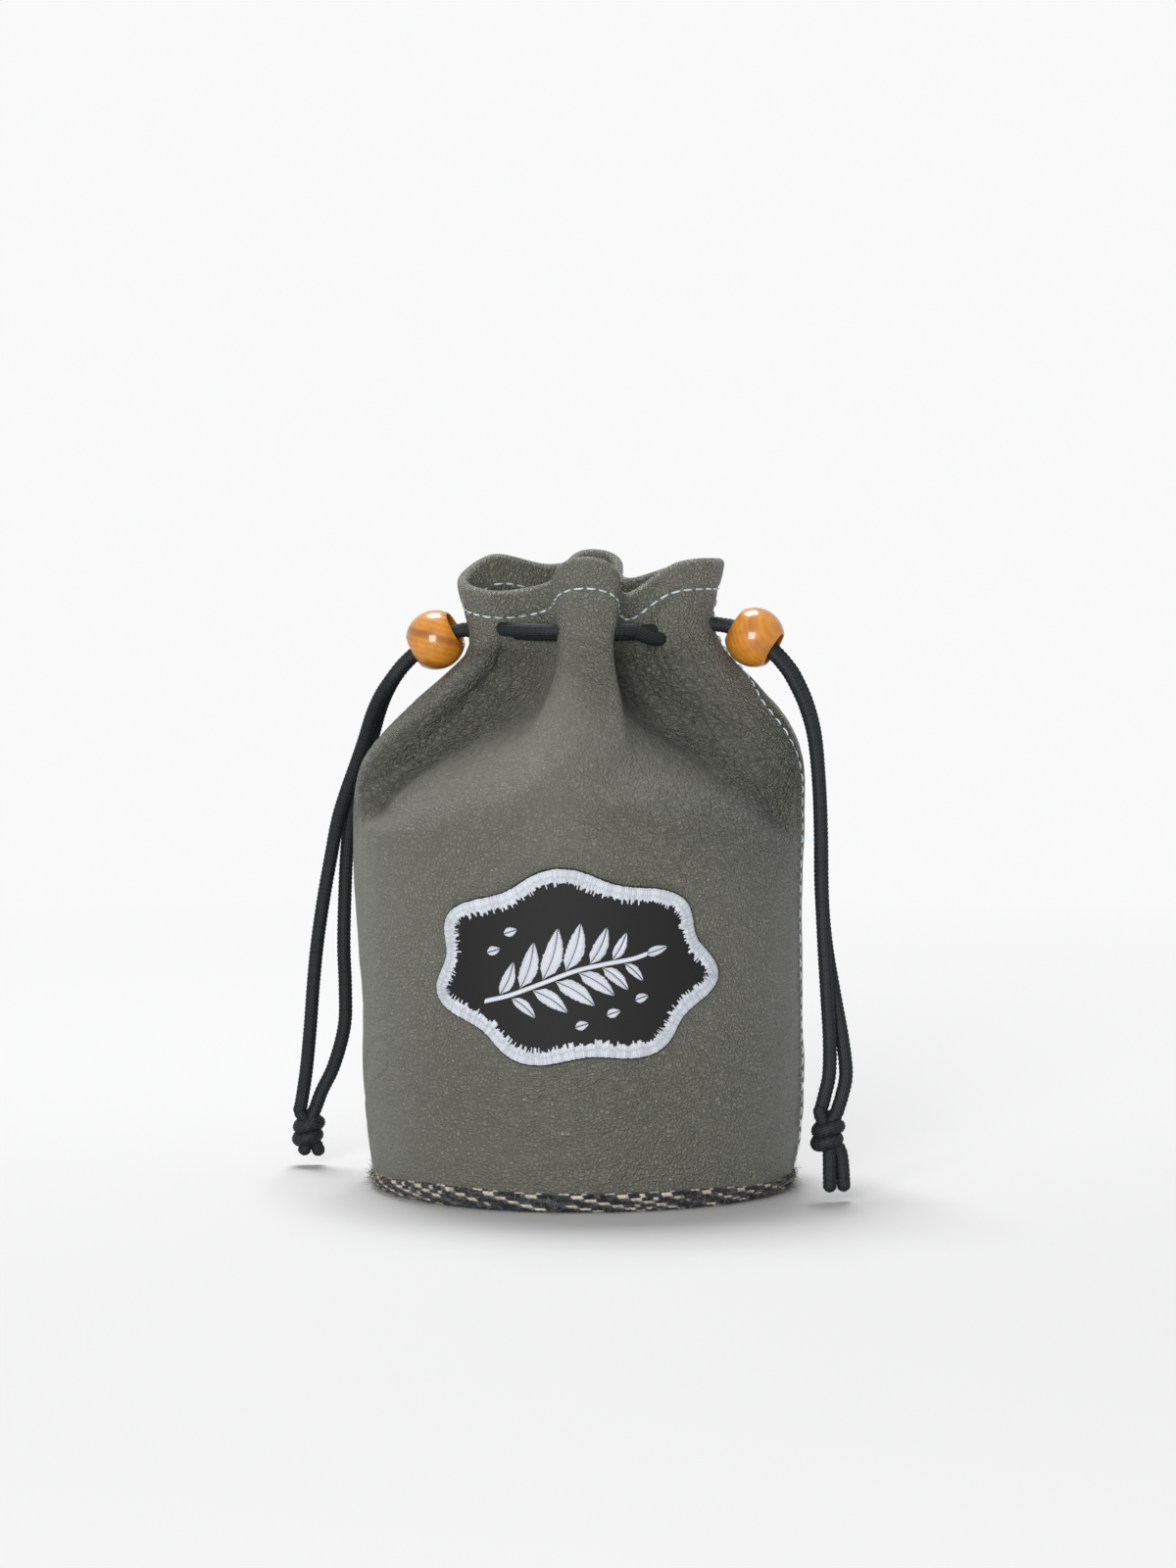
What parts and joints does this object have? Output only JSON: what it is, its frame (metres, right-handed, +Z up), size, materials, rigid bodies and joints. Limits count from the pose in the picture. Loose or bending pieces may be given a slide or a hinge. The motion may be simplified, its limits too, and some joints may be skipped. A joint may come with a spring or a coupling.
{
  "type": "valuables pouch",
  "caption": "Small gathered leather drawstring pouch on a round tweed base, with two opposed cords, wooden beads and an embroidered patch.",
  "frame": {"origin": "centre of the bounding box of the pouch without its cords, at the underside of the base", "axes": "+Z up through the mouth, -Y towards the patch, +X to the right as the patch is looked at"},
  "size_m": [0.151, 0.1193, 0.1703],
  "materials": {
    "leather": "pebbled, semi-matte grey-olive",
    "tweed": "coarse wool weave in black, grey and cream",
    "patch_thread": "satin-stitched thread on a black ground",
    "cord": "tightly braided black cord",
    "bead_wood": "varnished amber wood"
  },
  "bodies": {
    "pouch": {"front_panel": "leather", "back_panel": "leather", "tweed_base": "tweed", "patch": "patch_thread", "drawcord_left": "cord", "drawcord_right": "cord", "knot_left": "cord", "knot_right": "cord"},
    "bead_left_slider": {"bead_left": "bead_wood"},
    "bead_right_slider": {"bead_right": "bead_wood"}
  },
  "joints": [
    {"name": "bead_left_slide", "type": "hinge", "parent": "pouch", "child": "bead_left_slider", "pos_m": [-0.02371, -0.00261, 0.11835], "axis": [-0.1736, -0.9848, 0], "range_deg": [0, 18]},
    {"name": "bead_right_slide", "type": "hinge", "parent": "pouch", "child": "bead_right_slider", "pos_m": [0.03205, 0.00003, 0.12152], "axis": [0.2419, 0.9703, 0], "range_deg": [0, 22]}
  ]
}
